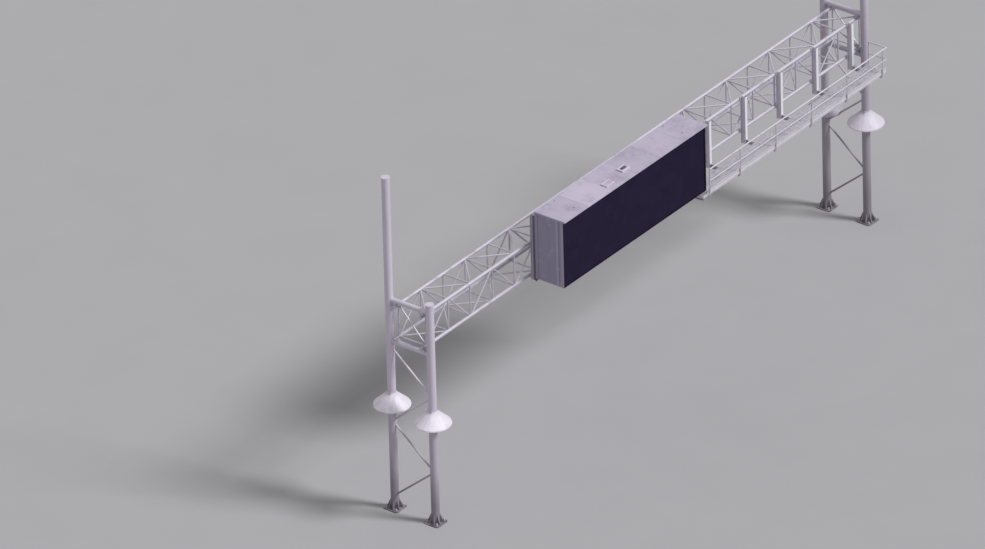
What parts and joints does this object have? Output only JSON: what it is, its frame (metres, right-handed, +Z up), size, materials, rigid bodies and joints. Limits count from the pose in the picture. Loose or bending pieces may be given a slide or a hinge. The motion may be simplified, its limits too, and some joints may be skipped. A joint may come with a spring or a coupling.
{
  "type": "overhead sign gantry",
  "caption": "Road-spanning box-truss gantry on paired tube legs, with a walk-in message sign cabinet and a service catwalk on its front.",
  "frame": {"origin": "on the ground, in the middle of the whole part's outline", "axes": "+X along the span from the near legs to the far legs, +Y to the rear, away from the sign's face, +Z up"},
  "size_m": [24.41, 3.4184, 12.1],
  "materials": {
    "base_steel": "weathered galvanised plate, dirty near the ground",
    "leg_steel": "dull galvanised tube, darker towards the foot",
    "guard_sheet": "pale sheet, satin",
    "galvanised_steel": "galvanised, satin with faint spangle",
    "walkway_metal": "mill finish, worn",
    "cabinet_roof": "weathered sheet, blotchy dust",
    "cabinet_walls": "satin grey paint",
    "display_face": "dark blue-black matrix face under clear sheet"
  },
  "bodies": {
    "root": {"near_front_base": "base_steel", "near_rear_base": "base_steel", "far_front_base": "base_steel", "far_rear_base": "base_steel", "near_front_leg": "leg_steel", "near_rear_leg": "leg_steel", "far_front_leg": "leg_steel", "far_rear_leg": "leg_steel", "near_front_guard": "guard_sheet", "near_rear_guard": "guard_sheet", "far_front_guard": "guard_sheet", "far_rear_guard": "guard_sheet", "near_leg_braces": "leg_steel", "far_leg_braces": "leg_steel", "near_seat_beam": "leg_steel", "near_top_beam": "leg_steel", "far_seat_beam": "leg_steel", "far_top_beam": "leg_steel", "front_top_chord": "galvanised_steel", "front_bottom_chord": "galvanised_steel", "rear_top_chord": "galvanised_steel", "rear_bottom_chord": "galvanised_steel", "chord_end_caps": "galvanised_steel", "front_lacing": "galvanised_steel", "rear_lacing": "galvanised_steel", "top_lacing": "galvanised_steel", "bottom_lacing": "galvanised_steel", "near_end_frame": "galvanised_steel", "far_end_frame": "galvanised_steel", "sign_hangers": "galvanised_steel", "catwalk_hangers": "galvanised_steel", "catwalk_brackets": "galvanised_steel", "catwalk_stringers": "galvanised_steel", "catwalk_grating": "walkway_metal", "catwalk_toe_board": "walkway_metal", "catwalk_handrail": "walkway_metal", "catwalk_end_rail": "walkway_metal", "sign_roof": "cabinet_roof", "sign_floor": "cabinet_walls", "sign_back_wall": "cabinet_walls", "sign_near_end_wall": "cabinet_walls", "sign_far_end_wall": "cabinet_walls", "sign_access_door": "cabinet_walls", "sign_face_frame": "display_face", "sign_display": "display_face"}
  },
  "joints": []
}
